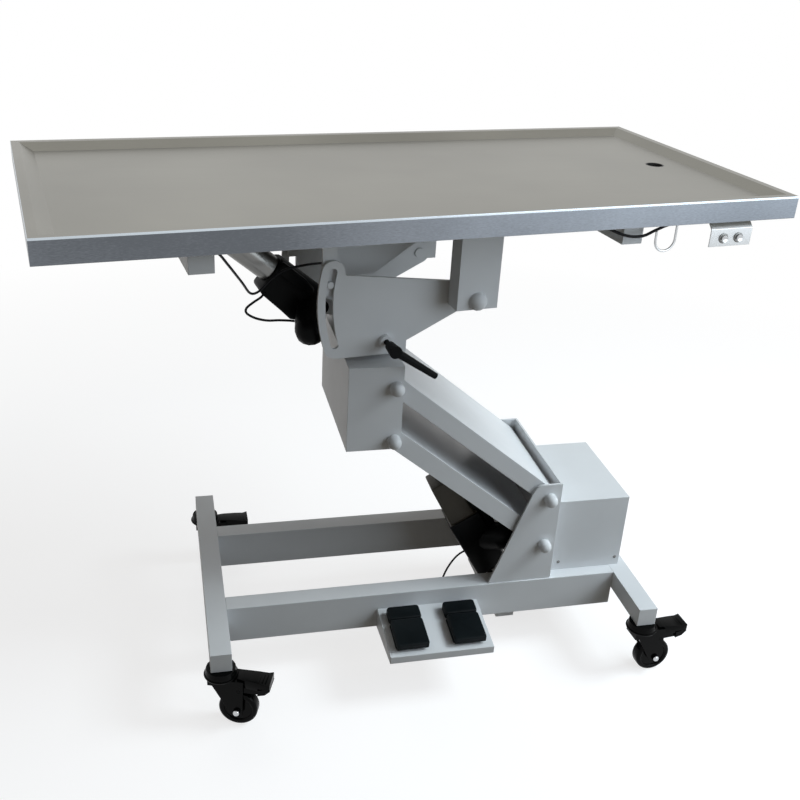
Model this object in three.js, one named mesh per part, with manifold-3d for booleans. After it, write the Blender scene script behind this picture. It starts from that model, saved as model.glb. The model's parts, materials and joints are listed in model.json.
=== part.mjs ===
// Electric veterinary exam table: a steel tray top that tilts and swivels on a parallelogram lift,
// standing on a frame with four braked casters. X runs along the base, Y away from the user, Z up.
// The origin lies on the floor below the middle of the top. Sizes are in millimetres and degrees.
import * as THREE from 'three';
import { mergeVertices } from 'three/addons/utils/BufferGeometryUtils.js';
import Module from 'manifold-3d';

const wasm = await Module();
wasm.setup();

// Gaps
const seam = 0.3; // left between pieces that touch
const running = 0.5; // round a pin or shaft that turns
const cut = 1; // a cutter reaches this far past the face that it opens

// Base frame
const base = { length: 900, footLength: 560, tube: 40, wall: 2.5, railHeight: 80, railSpan: 296, vent: 4 };
const caster = {
  height: 125, inset: 15, headRadius: 31, headHeight: 16, trail: 34, wheelRadius: 37.5, wheelWidth: 26,
  tyreRound: 5, legThick: 4, legGap: 2, axleRadius: 4, boltRadius: 7, boltHeight: 4, hubRadius: 11,
};
const brake = { reach: 98, thick: 15, pinRadius: 3, hubRadius: 5.2, level: 86, hinge: 38, neck: 36,
  tipHalf: 19, tipRise: 5 };
const footTop = caster.height + base.tube;

// Lift bracket, its two arms and the head that they keep level
const bracket = { plate: 5, half: 145, left: 129, right: 266, top: 230, shoulder: 225, bend: 203,
  bendHeight: 209 };
const pins = { x: 240.5, lower: 87.5, spacing: 110, radius: 8, capRadius: 13, capStraight: 11 };
const arm = { reach: 332.5, half: 135, depth: 36, wall: 4 };
const head = { half: 145, plate: 5, left: 90, right: 14, above: 42, below: 19, corner: 10 };
const turntable = { radius: 48, height: 15, spindleRadius: 20, spindleHeight: 47 };

// Yoke: two sector plates on a hub that swivels on the head. Its own frame has the swivel axis as Z.
const swivel = 8; // how far the top is turned in the photograph
const yoke = { plate: 6, half: 122, baseHalf: 40, baseThick: 8, hubRadius: 32, hubHeight: 52 };
const sector = {
  right: 42, step: 23, noseRadius: 22, slotRadius: 265, slotUp: 12.6, slotDown: 17.3, slotWidth: 14,
  margin: 14, topLeft: -77, topLeftHeight: 156, bottomLeft: -87, cornerPull: -112,
};
const pivot = { x: 158, above: 105, radius: 10, reach: 3, capRadius: 17, capHeight: 15 };
const lever = { x: 0, above: 27, studRadius: 5, bossRadius: 12, bossHeight: 9, hubRadius: 12, hubFrom: 148,
  hubTo: 180, length: 102, droop: 35, rootRadius: 8, tipRadius: 6 };

// Table top and its underframe, in the yoke's frame
const top = { length: 1300, width: 600, height: 996, above: 308.4, rim: 40, lip: 15, slope: 23, depth: 12, sheet: 1.5,
  offset: 58,
  flange: 20 };
const drain = { x: 548, radius: 18, wall: 2.2, flange: 26, flangeThick: 3, drop: 50 };
const frame = { railLength: 1120, railWidth: 40, railY: 145, wall: 2.5, crossLength: 530, crossLeft: -411,
  crossRight: 337 };
const post = { width: 80, depth: 40, wall: 3, below: 16 };
const guide = { angle: 7.5, halfWidth: 13, thick: 6, gap: 3, below: 22, studRadius: 6, block: 16 };
const stop = { half: 38, plate: 4, bottom: 20, left: -51, right: 5, shoulder: 99, leftTop: -110,
  rightTop: 150 };
const hook = { x: 408, y: -288, wire: 2.2, drop: 48, width: 40, lift: 16, steps: 16 };
const panel = { x: 519, width: 88, knuckle: 12, drop: 44, thick: 2.5, lip: 26 };
const button = { spacing: 32, up: 15, radius: 6.5, height: 4, stemRadius: 5, travel: 2.5, stem: 9 };

// Linear actuators. Each is set by its two pivots; the rod's eye has play round the far pin.
const tiltDrive = { fromX: -88, fromAbove: 57, toX: -305, toAbove: 237, eye: 15, lug: 5, housing: [16, 122],
  housingRadius: 31, tubeEnd: 206, tubeRadius: 25, rodRadius: 11, travel: 44, pin: 6, play: 5.5, ear: 17.5,
  motorAt: 20, motorFrom: 24, motorRadius: 28, motorLength: 86, motorTurn: -26 };
const liftDrive = { x: 190, above: -62, along: 316.5, below: 8, eye: 17, lug: 6, housing: [20, 118],
  housingRadius: 38,
  tubeEnd: 276, tubeRadius: 20, rodRadius: 11, travel: 90, pin: 6, play: 4.2, ear: 14.5,
  motorAt: 96, motorFrom: 0, motorRadius: 30, motorLength: 72, motorTurn: 48 };
const crossbar = { width: 40, height: 30, drop: 30 };

// Control box and foot switches
const box = { left: 270, right: 432, half: 120, height: 170, sheet: 1.5 };
const unit = { length: 110, depth: 150, height: 64, tray: 2, trayLength: 150 };
const inlet = { width: 50, height: 28, depth: 9, up: 60, recess: 6, edge: 4 };
const tray = { half: 106, reach: 130, rearTop: 35, frontTop: 53, frontBottom: 69, sheet: 2.5 };
const pedal = { inner: 25, width: 67, back: 15, length: 105, height: 19, split: 34, base: 5, edge: 4,
  pin: 2.5 };

// Cable routes, chosen by hand. The last is in the base's frame and the others in the yoke's.
const cable = { radius: 2.6, thin: 2.2, sides: 8, steps: 20, shortSteps: 12 };
const tiltCableRoute = [[-332.6, -236, 938], [-322, -236, 937], [-300, -205, 906], [-262, -130, 848],
  [-236, -78, 808],
  [-218, -70, 808], [-198, -68, 826], [-172, -67, 842], [-136, -66, 848], [-108, -56, 846], [-92, -42, 841],
  [-82, -34.5, 844.6], [-73.6, -34, 849.9]];
const motorCableRoute = [[-190.4, -19, 796.6], [-194, -23.5, 792], [-206, -36, 784], [-224, -48, 779],
  [-238, -55, 772],
  [-238, -57, 763], [-222, -56, 752], [-200, -52, 744], [-178, -47, 740.5], [-158.7, -49.3, 739], [-149,
    -51.9, 738]];
const buttonCableRoute = [[606, -295.2, 930], [606, -284, 931], [588, -270, 944], [530, -262, 950], [470,
  -268, 949],
  [430, -280, 944], [404, -281, 935], [372, -281, 937], [340, -272, 948], [318, -260, 955], [302, -252,
    964],
  [298, -250, 974], [298, -250, 981.8]];
const footCableRoute = [[184, 62, 73.3], [184, 62, 84], [172, 62, 99], [150, 62, 104], [126, 60, 92],
  [104, 55, 64],
  [86, 38, 38], [68, 0, 28], [46, -60, 30], [28, -115, 44], [18, -148, 68], [12, -168, 98], [10, -172,
    123.6]];

// Finishes
const paint = new THREE.MeshStandardMaterial({ color: 0xdfe3e8, roughness: 0.45, metalness: 0.1 });
const steel = new THREE.MeshStandardMaterial({ color: 0xa9aaa6, roughness: 0.35, metalness: 0.9 });
const polished = new THREE.MeshStandardMaterial({ color: 0xc4c7c9, roughness: 0.25, metalness: 0.9 });
const blackPlastic = new THREE.MeshStandardMaterial({ color: 0x17191b, roughness: 0.5, metalness: 0 });
const rubber = new THREE.MeshStandardMaterial({ color: 0x121315, roughness: 0.7, metalness: 0 });

const degrees = THREE.MathUtils.degToRad;
const axisY = new THREE.Vector3(0, 1, 0);

// Solids: a closed geometry becomes a solid for joins and cuts, and comes back as a geometry.
function solidOf(geometry) {
  const bare = geometry.clone();
  bare.deleteAttribute('normal');
  bare.deleteAttribute('uv');
  const merged = mergeVertices(bare, 1e-4);
  const vertProperties = merged.attributes.position.array;
  const triVerts = new Uint32Array(merged.index.array);
  return new wasm.Manifold(new wasm.Mesh({ numProp: 3, vertProperties, triVerts }));
}

function geometryOf(solid) {
  const { vertProperties, triVerts } = solid.getMesh();
  const geometry = new THREE.BufferGeometry();
  geometry.setAttribute('position', new THREE.BufferAttribute(vertProperties, 3));
  geometry.setIndex(new THREE.BufferAttribute(triVerts, 1));
  geometry.computeVertexNormals();
  return geometry;
}

function joined(pieces, cutters = []) {
  let solid = solidOf(pieces[0]);
  for (const piece of pieces.slice(1)) solid = solid.add(solidOf(piece));
  for (const cutter of cutters) solid = solid.subtract(solidOf(cutter));
  return geometryOf(solid);
}

// Shapes: blocks by their limits, round bars between two points, and flat plates.
function block(x0, x1, y0, y1, z0, z1) {
  const geometry = new THREE.BoxGeometry(x1 - x0, y1 - y0, z1 - z0);
  return geometry.translate((x0 + x1) / 2, (y0 + y1) / 2, (z0 + z1) / 2);
}

function bar(from, to, radius, endRadius = radius, sides = 12) {
  const start = new THREE.Vector3(...from);
  const along = new THREE.Vector3(...to).sub(start);
  const geometry = new THREE.CylinderGeometry(endRadius, radius, along.length(), sides);
  geometry.translate(0, along.length() / 2, 0);
  geometry.applyQuaternion(new THREE.Quaternion().setFromUnitVectors(axisY, along.clone().normalize()));
  return geometry.translate(start.x, start.y, start.z);
}

function barY(x, z, radius, y0, y1, sides = 14) {
  return bar([x, y0, z], [x, y1, z], radius, radius, sides);
}

function lathe(profile, sides = 20) {
  return new THREE.LatheGeometry(profile.map(([r, h]) => new THREE.Vector2(r, h)), sides);
}

// A plate drawn in X and Z and as thick as y0 to y1
function plateXZ(shape, y0, y1, curveSegments = 5) {
  const geometry = new THREE.ExtrudeGeometry(shape, { depth: y1 - y0, bevelEnabled: false, curveSegments });
  return geometry.rotateX(Math.PI / 2).translate(0, y1, 0);
}

// A plate drawn in Y and Z and as thick as x0 to x1
function plateYZ(points, x0, x1) {
  const shape = new THREE.Shape(points.map(([y, z]) => new THREE.Vector2(y, z)));
  const geometry = new THREE.ExtrudeGeometry(shape, { depth: x1 - x0, bevelEnabled: false });
  const turn = new THREE.Matrix4().makeBasis(axisY, new THREE.Vector3(0, 0, 1), new THREE.Vector3(1, 0, 0));
  return geometry.applyMatrix4(turn).translate(x0, 0, 0);
}

function outline(points) {
  return new THREE.Shape(points.map(([x, z]) => new THREE.Vector2(x, z)));
}

function circleHole(shape, x, z, radius) {
  shape.holes.push(new THREE.Path().absarc(x, z, radius, 0, Math.PI * 2, true));
}

// A square tube, open at both ends along the given axis
function openTube(x0, x1, y0, y1, z0, z1, wall, along) {
  const grow = (axis) => (axis === along ? -cut : wall);
  const inner = block(x0 + grow('x'), x1 - grow('x'), y0 + grow('y'), y1 - grow('y'), z0 + grow('z'),
    z1 - grow('z'));
  return joined([block(x0, x1, y0, y1, z0, z1)], [inner]);
}

// A square tube with closed ends and a small vent below
function closedTube(x0, x1, y0, y1, z0, z1, wall) {
  const middle = [(x0 + x1) / 2, (y0 + y1) / 2];
  const inner = block(x0 + wall, x1 - wall, y0 + wall, y1 - wall, z0 + wall, z1 - wall);
  const vent = bar([...middle, z0 - cut], [...middle, z0 + wall + cut], base.vent, base.vent, 12);
  return joined([block(x0, x1, y0, y1, z0, z1)], [inner, vent]);
}

// A solid between two rectangles of different size
function frustum(half0, half1, z0, z1) {
  const corners = [];
  for (const [[hx, hy], z] of [[half0, z0], [half1, z1]]) {
    for (const [sx, sy] of [[-1, -1], [1, -1], [1, 1], [-1, 1]]) corners.push(sx * hx, sy * hy, z);
  }
  const faces = [[0, 3, 2, 1], [4, 5, 6, 7], [0, 1, 5, 4], [1, 2, 6, 5], [2, 3, 7, 6], [3, 0, 4, 7]];
  const geometry = new THREE.BufferGeometry();
  geometry.setAttribute('position', new THREE.Float32BufferAttribute(corners, 3));
  geometry.setIndex(faces.flatMap(([a, b, c, d]) => [a, b, c, a, c, d]));
  return geometry;
}

function cableAlong(route, radius, steps = cable.steps) {
  const path = new THREE.CatmullRomCurve3(route.map((p) => new THREE.Vector3(...p)), false, 'centripetal');
  const section = new THREE.Shape();
  section.absarc(0, 0, radius, 0, Math.PI * 2);
  const geometry = new THREE.ExtrudeGeometry(section, {
    steps, extrudePath: path, curveSegments: cable.sides / 2, bevelEnabled: false,
  });
  return geometry;
}

function put(group, name, geometry, material) {
  const mesh = new THREE.Mesh(geometry, material);
  mesh.name = name;
  group.add(mesh);
  return mesh;
}

// Base frame: two foot tubes with a vent below, joined by two rails
const foot = { x: base.length / 2 - base.tube / 2, y: base.footLength / 2 };
const rail = { half: base.length / 2 - base.tube, y: base.railSpan / 2 - base.tube / 2 };

function addBaseFrame(group) {
  const half = base.tube / 2;
  for (const [side, sign] of [['left', -1], ['right', 1]]) {
    const x = sign * foot.x;
    const tube = closedTube(x - half, x + half, -foot.y, foot.y, caster.height, footTop, base.wall);
    put(group, `foot_${side}`, tube, paint);
  }
  for (const [side, sign] of [['front', -1], ['rear', 1]]) {
    const y = sign * rail.y;
    put(group, `rail_${side}`, openTube(-rail.half, rail.half, y - half, y + half,
      footTop - base.railHeight, footTop,
      base.wall, 'x'), paint);
  }
}

// Caster: fork with its swivel head and axle bolt, wheel, and brake pedal, made heading along +X
const casterFrame = { legY: caster.wheelWidth / 2 + caster.legGap,
  crown: caster.height - caster.headHeight - seam };

function forkGeometry() {
  const { trail, wheelRadius, legThick, headRadius, axleRadius, boltRadius, boltHeight } = caster;
  const legOuter = casterFrame.legY + legThick;
  const swivelHead = bar([0, 0, casterFrame.crown], [0, 0, caster.height - seam], headRadius,
    headRadius - 3, 18);
  const crownDrop = casterFrame.crown - 2 * wheelRadius - caster.legGap;
  const crown = block(-headRadius * 0.7, trail + boltRadius, -legOuter, legOuter,
    casterFrame.crown - crownDrop / 2,
    casterFrame.crown);
  const pieces = [swivelHead, crown];
  for (const sign of [-1, 1]) {
    const leg = outline([[-headRadius * 0.7, casterFrame.crown], [trail - 11, wheelRadius - 9],
      [trail + 11, wheelRadius - 9], [trail + boltRadius + 6, casterFrame.crown]]);
    const inner = sign * casterFrame.legY;
    const outerFace = sign * legOuter;
    pieces.push(plateXZ(leg, Math.min(inner, outerFace), Math.max(inner, outerFace)));
    pieces.push(barY(trail, wheelRadius, boltRadius, outerFace - boltHeight, outerFace + boltHeight, 12));
  }
  pieces.push(barY(trail, wheelRadius, axleRadius, -legOuter, legOuter, 12));
  const hinge = barY(brake.hinge, brake.level, brake.pinRadius + running, -legOuter - cut, legOuter + cut,
    12);
  return joined(pieces, [hinge]);
}

function wheelGeometry() {
  const { wheelRadius, wheelWidth, tyreRound, axleRadius, hubRadius, legGap } = caster;
  const half = wheelWidth / 2;
  const bore = axleRadius + running;
  const face = half - 3;
  const rim = wheelRadius - 10;
  const profile = [[bore, -half - legGap + seam], [hubRadius, -half - legGap + seam], [hubRadius, -face],
    [rim, -face],
    [wheelRadius - tyreRound, -half], [wheelRadius, -half + tyreRound], [wheelRadius, half - tyreRound],
    [wheelRadius - tyreRound, half], [rim, face], [hubRadius, face], [hubRadius, half + legGap - seam],
    [bore, half + legGap - seam]];
  return lathe([...profile, profile[0]], 18);
}

// The pedal hinges between the fork's legs, runs out over the wheel and ends in a wider upturned tip.
function brakeGeometry() {
  const { reach, thick, pinRadius, hubRadius, level, hinge, neck, tipHalf, tipRise } = brake;
  const half = casterFrame.legY - running;
  const under = level - hubRadius;
  const topZ = under + thick;
  const start = hinge + hubRadius + 1;
  const tipStart = hinge + neck;
  const tipShape = [[reach - 10, under + tipRise], [reach, under + thick], [reach - 3, topZ + tipRise],
    [reach - 10, topZ + tipRise - 1], [tipStart + 4, topZ]];
  const neckPlate = plateXZ(outline([[hinge, under], [tipStart, under + 1], ...tipShape, [start, topZ],
    [start, level + hubRadius], [hinge, level + hubRadius]]), -half, half);
  const tip = plateXZ(outline([[tipStart, under + 1], ...tipShape, [tipStart, topZ]]), -tipHalf, tipHalf);
  const hub = barY(hinge, level, hubRadius, -half, half, 12);
  const pin = barY(hinge, level, pinRadius, -casterFrame.legY - caster.legThick,
    casterFrame.legY + caster.legThick, 12);
  return joined([neckPlate, tip, hub, pin]);
}

function addCasters(group) {
  const places = [['front_left', -1, -1, -20], ['front_right', 1, -1, 4], ['rear_left', -1, 1, 0],
    ['rear_right', 1, 1, 155]];
  for (const [where, sx, sy, heading] of places) {
    const holder = new THREE.Group();
    holder.position.set(sx * foot.x, sy * (foot.y - caster.inset), 0);
    holder.rotation.z = degrees(heading);
    group.add(holder);
    put(holder, `caster_fork_${where}`, forkGeometry(), blackPlastic);
    const wheel = put(holder, `caster_wheel_${where}`, wheelGeometry(), rubber);
    wheel.position.set(caster.trail, 0, caster.wheelRadius);
    put(holder, `caster_brake_${where}`, brakeGeometry(), blackPlastic);
  }
}

// Lift: a bent bracket on the rails, two channel arms and their pins
const pinLow = footTop + pins.lower;
const pinHigh = pinLow + pins.spacing;
const headRise = head.above + turntable.height + 2 * seam; // from the upper head pin to the yoke's foot
const armRise = top.height - top.above - headRise - pinHigh; // the height of the top sets the lift's posture
const armLength = Math.hypot(arm.reach, armRise);
const armAngle = Math.atan2(armRise, arm.reach);
const headPinX = pins.x - arm.reach;

function addBracket(group) {
  const shape = new THREE.Shape();
  shape.moveTo(bracket.left, footTop);
  shape.lineTo(bracket.right, footTop);
  shape.lineTo(bracket.right, footTop + bracket.top);
  shape.lineTo(bracket.shoulder, footTop + bracket.top);
  shape.quadraticCurveTo((bracket.shoulder + bracket.bend) / 2 - 3, footTop + bracket.top, bracket.bend,
    footTop + bracket.bendHeight);
  shape.closePath();
  for (const z of [pinLow, pinHigh]) circleHole(shape, pins.x, z, pins.radius + running);
  const inner = bracket.half - bracket.plate;
  const web = block(bracket.right - bracket.plate, bracket.right, -inner - cut, inner + cut, footTop,
    footTop + bracket.top);
  const sides = [plateXZ(shape, -bracket.half, -inner), plateXZ(shape, inner, bracket.half)];
  put(group, 'lift_bracket', joined([web, ...sides]), paint);
}

// A pin with a domed cap at each end, along Y
function pinGeometry(radius, half, capRadius, straight) {
  const dome = [30, 60].map((angle) => [capRadius * Math.cos(degrees(angle)),
    capRadius * Math.sin(degrees(angle))]);
  const end = half + seam;
  const cap = [[radius, end], [capRadius, end], [capRadius, end + straight],
    ...dome.map(([r, h]) => [r, end + straight + h]), [0, end + straight + capRadius]];
  const mirrored = cap.map(([r, h]) => [r, -h]).reverse();
  return lathe([...mirrored, ...cap], 14);
}

function addPin(group, name, x, z, half) {
  const pin = put(group, name, pinGeometry(pins.radius, half, pins.capRadius, pins.capStraight), paint);
  pin.position.set(x, 0, z);
}

function armPieces() {
  const radius = arm.depth / 2;
  const side = new THREE.Shape();
  side.absarc(0, 0, radius, -Math.PI / 2, Math.PI / 2, false);
  side.absarc(-armLength, 0, radius, Math.PI / 2, (Math.PI * 3) / 2, false);
  side.closePath();
  for (const x of [0, -armLength]) circleHole(side, x, 0, pins.radius + running);
  const inner = arm.half - arm.wall;
  const web = block(-armLength, 0, -inner - cut, inner + cut, radius - arm.wall, radius);
  return [web, plateXZ(side, -arm.half, -inner), plateXZ(side, inner, arm.half)];
}

// Inside the lower arm, two lugs and a pin for the lift actuator's eye
function lowerArmGeometry() {
  const radius = arm.depth / 2;
  const width = liftDrive.ear;
  const inner = liftDrive.lug + 8;
  const lugs = [-1, 1].map((sign) => block(-liftDrive.along - width, -liftDrive.along + width,
    Math.min(sign * inner, sign * (inner + liftDrive.lug)), Math.max(sign * inner,
      sign * (inner + liftDrive.lug)),
    -liftDrive.below - liftDrive.pin - 4, radius - arm.wall / 2));
  const pin = barY(-liftDrive.along, -liftDrive.below, liftDrive.pin, -inner - 1, inner + 1);
  return joined([...armPieces(), ...lugs, pin]);
}

function addArms(group) {
  const lower = put(group, 'lower_arm', lowerArmGeometry(), paint);
  lower.position.set(pins.x, 0, pinLow);
  lower.rotation.y = armAngle;
  const upper = put(group, 'upper_arm', joined(armPieces()), paint);
  upper.position.set(pins.x, 0, pinHigh);
  upper.rotation.y = armAngle;
}

// Head: a box open towards the arms, with the swivel spindle on its top plate
const headBottom = pinLow + armRise - head.below;
const headTop = pinHigh + armRise + head.above;
const headLeft = headPinX - head.left;
const headRight = headPinX + head.right;
const swivelX = (headLeft + headRight) / 2;
const yokeBottom = headTop + turntable.height + 2 * seam;

function addHead(group) {
  const side = outline([[headLeft, headBottom], [headRight - head.corner, headBottom],
    [headRight, headBottom + head.corner], [headRight, headTop], [headLeft, headTop]]);
  for (const z of [pinLow, pinHigh]) circleHole(side, headPinX, z + armRise, pins.radius + running);
  const inner = head.half - head.plate;
  const web = block(headLeft, headLeft + head.plate, -inner - cut, inner + cut, headBottom, headTop);
  const lid = block(headLeft, headRight, -inner - cut, inner + cut, headTop - head.plate, headTop);
  put(group, 'head_box', joined([web, lid, plateXZ(side, -head.half, -inner), plateXZ(side, inner,
    head.half)]), paint);
  const foot0 = headTop + seam;
  const spindle = lathe([[0, 0], [turntable.radius, 0], [turntable.radius, turntable.height],
    [turntable.spindleRadius, turntable.height], [turntable.spindleRadius,
      turntable.height + turntable.spindleHeight],
    [0, turntable.height + turntable.spindleHeight]], 24);
  const post0 = put(group, 'swivel_spindle', spindle.rotateX(Math.PI / 2), steel);
  post0.position.set(swivelX, 0, foot0);
}

// An actuator in a frame of its own: its pivot at the origin and its axis along +X, drawn in X and Z
function actuatorMotor(drive) {
  const turn = degrees(drive.motorTurn);
  const along = new THREE.Vector3(0, -Math.cos(turn), -Math.sin(turn));
  const place = (distance) => along.clone().multiplyScalar(distance).setX(drive.motorAt).toArray();
  const start = place(drive.motorFrom);
  const end = place(drive.motorLength);
  const dome = new THREE.SphereGeometry(drive.motorRadius, 14, 6);
  dome.applyQuaternion(new THREE.Quaternion().setFromUnitVectors(axisY, along));
  return [bar(start, end, drive.motorRadius, drive.motorRadius, 14), dome.translate(...end)];
}

function actuatorHousing(drive) {
  const [from, to] = drive.housing;
  const housing = bar([from, 0, 0], [to, 0, 0], drive.housingRadius, drive.housingRadius, 20);
  const inner = drive.lug + 1;
  const ears = [-1, 1].flatMap((sign) => {
    const y0 = Math.min(sign * inner, sign * (inner + 9));
    const y1 = Math.max(sign * inner, sign * (inner + 9));
    return [barY(0, 0, drive.eye, y0, y1), block(0, from + cut, y0, y1, -drive.eye, drive.eye)];
  });
  const pinHole = barY(0, 0, drive.pin + running, -inner - 10, inner + 10, 16);
  return { pieces: [housing, ...ears, ...actuatorMotor(drive)], cutters: [pinHole] };
}

function rodGeometry(drive, length) {
  const half = drive.lug + 1;
  const start = drive.housing[1] + drive.travel;
  const neck = length - drive.ear;
  const shaft = bar([start, 0, 0], [neck + 4, 0, 0], drive.rodRadius, drive.rodRadius, 16);
  return { half, neck, shaft };
}

function placeActuator(group, x, z, angle) {
  const holder = new THREE.Group();
  holder.position.set(x, 0, z);
  holder.rotation.y = angle;
  group.add(holder);
  return holder;
}

// Lift actuator: from a lug on the crossbar up to the pin in the lower arm
const liftBase = { x: liftDrive.x, z: footTop + liftDrive.above };
const liftEnd = {
  x: pins.x - liftDrive.along * Math.cos(armAngle) - liftDrive.below * Math.sin(armAngle),
  z: pinLow + liftDrive.along * Math.sin(armAngle) - liftDrive.below * Math.cos(armAngle),
};
const liftLength = Math.hypot(liftEnd.x - liftBase.x, liftEnd.z - liftBase.z);
const liftAngle = Math.PI - Math.atan2(liftEnd.z - liftBase.z, liftEnd.x - liftBase.x);

function addLiftActuator(group) {
  const holder = placeActuator(group, liftBase.x, liftBase.z, liftAngle + Math.PI);
  const { pieces, cutters } = actuatorHousing(liftDrive);
  const tube = bar([liftDrive.housing[1] - cut, 0, 0], [liftDrive.tubeEnd, 0, 0], liftDrive.tubeRadius,
    liftDrive.tubeRadius, 20);
  const bore = bar([liftDrive.housing[1], 0, 0], [liftDrive.tubeEnd + cut, 0, 0],
    liftDrive.rodRadius + running);
  put(holder, 'lift_actuator', joined([...pieces, tube], [...cutters, bore]), blackPlastic);
  const { shaft } = rodGeometry(liftDrive, liftLength);
  const half = liftDrive.lug + 6;
  const eye = barY(liftLength, 0, liftDrive.ear, -half, half);
  const hole = barY(liftLength, 0, liftDrive.pin + liftDrive.play, -half - cut, half + cut);
  put(holder, 'lift_rod', joined([shaft, eye], [hole]), polished);
}

// A crossbar between the rails carries the actuator's lug and pin
function addCrossbar(group) {
  const halfSpan = rail.y - base.tube / 2 - seam;
  const barTop = liftBase.z - crossbar.drop;
  const beam = block(liftBase.x - crossbar.width / 2, liftBase.x + crossbar.width / 2, -halfSpan, halfSpan,
    barTop - crossbar.height, barTop);
  const hangers = [-1, 1].map((sign) => block(liftBase.x - crossbar.width / 2,
    liftBase.x + crossbar.width / 2,
    Math.min(sign * halfSpan, sign * (halfSpan - base.wall * 2)),
    Math.max(sign * halfSpan, sign * (halfSpan - base.wall * 2)), barTop - crossbar.height,
      footTop - base.tube / 2));
  const lug = new THREE.Shape();
  lug.absarc(liftBase.x, liftBase.z, liftDrive.eye - 3, 0, Math.PI, false);
  lug.lineTo(liftBase.x - liftDrive.eye + 3, barTop - cut);
  lug.lineTo(liftBase.x + liftDrive.eye - 3, barTop - cut);
  lug.closePath();
  const pin = barY(liftBase.x, liftBase.z, liftDrive.pin, -liftDrive.lug - 12, liftDrive.lug + 12);
  put(group, 'actuator_crossbar', joined([beam, ...hangers, plateXZ(lug, -liftDrive.lug, liftDrive.lug),
    pin]), paint);
}

// Control box: a sheet cover over the control unit, which stands on its own tray across the rails
function addControlBox(group) {
  const inner = box.half - box.sheet;
  const lidZ = footTop + box.height;
  const shell = block(box.left, box.right, -box.half, box.half, footTop, lidZ);
  const hollow = block(box.left + box.sheet, box.right - box.sheet, -inner, inner, footTop - cut,
    lidZ - box.sheet);
  put(group, 'control_box_cover', joined([shell], [hollow]), paint);
  const midX = (box.left + box.right) / 2;
  const plate = block(midX - unit.trayLength / 2, midX + unit.trayLength / 2, -inner + seam, inner - seam,
    footTop,
    footTop + unit.tray);
  const body = block(midX - unit.length / 2, midX + unit.length / 2, -unit.depth / 2, unit.depth / 2,
    footTop + unit.tray / 2, footTop + unit.height);
  put(group, 'control_unit', joined([plate, body]), blackPlastic);
  const z = footTop + inlet.up;
  const face = box.half + seam;
  const socket = block(midX - inlet.width / 2, midX + inlet.width / 2, face, face + inlet.depth, z,
    z + inlet.height);
  const recess = block(midX - inlet.width / 2 + inlet.edge, midX + inlet.width / 2 - inlet.edge,
    face + inlet.depth - inlet.recess, face + inlet.depth + cut, z + inlet.edge,
      z + inlet.height - inlet.edge);
  put(group, 'mains_inlet', joined([socket], [recess]), blackPlastic);
}

// Foot switches: a folded tray on the front rail, two housings and two hinged treadles
const trayBack = -(base.railSpan / 2 + seam);
const traySlope = Math.atan2(tray.frontTop - tray.rearTop, tray.reach);

function addFootSwitches(group) {
  const side = (inset) => [[trayBack, footTop - tray.rearTop - inset],
    [trayBack - tray.reach + inset, footTop - tray.frontTop - inset],
    [trayBack - tray.reach + inset, footTop - tray.frontBottom - (inset ? cut * 2 : 0)],
    [trayBack, footTop - base.railHeight - (inset ? cut * 2 : 0)]];
  const inner = side(tray.sheet);
  inner[0][0] += cut;
  inner[3][0] += cut;
  put(group, 'pedal_tray', joined([plateYZ(side(0), -tray.half, tray.half)],
    [plateYZ(inner, -tray.half + tray.sheet, tray.half - tray.sheet)]), paint);
  for (const [where, sign] of [['left', -1], ['right', 1]]) {
    const holder = new THREE.Group();
    holder.position.set(sign * (pedal.inner + pedal.width / 2), trayBack, footTop - tray.rearTop + seam);
    holder.rotation.x = traySlope;
    group.add(holder);
    addFootSwitch(holder, where);
  }
}

// One foot switch in a frame whose XY plane is the tray's top: the treadle hinges at the step
function addFootSwitch(group, where) {
  const half = pedal.width / 2;
  const rear = -pedal.back;
  const step = rear - pedal.split;
  const front = rear - pedal.length;
  const hingeZ = pedal.height - pedal.edge;
  const back = block(-half, half, step, rear, 0, pedal.height);
  const floor = block(-half, half, front, step + cut, 0, pedal.base);
  const cheeks = [-1, 1].map((sign) => block(Math.min(sign * half, sign * (half - pedal.edge)),
    Math.max(sign * half, sign * (half - pedal.edge)), step - pedal.edge * 2, step + cut, 0,
      pedal.height - 1));
  const pinHole = bar([-half - cut, step - pedal.edge, hingeZ - 1], [half + cut, step - pedal.edge,
    hingeZ - 1],
    pedal.pin + running, pedal.pin + running, 12);
  put(group, `pedal_housing_${where}`, joined([back, floor, ...cheeks], [pinHole]), blackPlastic);
  const innerHalf = half - pedal.edge - running;
  const drop = pedal.base + 4;
  const neck = block(-innerHalf, innerHalf, step - pedal.edge * 2 - cut, step - running * 2, hingeZ - 5,
    pedal.height - 2);
  const tread = block(-half, half, front - 1, step - pedal.edge * 2 - running, drop, pedal.height);
  const pin = bar([-half + 1, step - pedal.edge, hingeZ - 1], [half - 1, step - pedal.edge, hingeZ - 1],
    pedal.pin,
    pedal.pin, 12);
  put(group, `treadle_${where}`, joined([neck, tread, pin]), rubber);
}

// Yoke, in its own frame: Z is the swivel axis. A sector plate each side of a hub with a lug.
const pivotZ = yokeBottom + pivot.above;
const studZ = yokeBottom + lever.above;
const tiltBase = { x: tiltDrive.fromX, z: yokeBottom + tiltDrive.fromAbove };
const tiltEnd = { x: tiltDrive.toX, z: yokeBottom + tiltDrive.toAbove };
const tiltLength = Math.hypot(tiltEnd.x - tiltBase.x, tiltEnd.z - tiltBase.z);
const tiltAngle = Math.PI - Math.atan2(tiltEnd.z - tiltBase.z, tiltEnd.x - tiltBase.x);

// A point round the tilt pin, at an angle above the level through the pin on its left
function roundPivot(radius, angle) {
  return [pivot.x - radius * Math.cos(degrees(angle)), pivotZ + radius * Math.sin(degrees(angle))];
}

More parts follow.
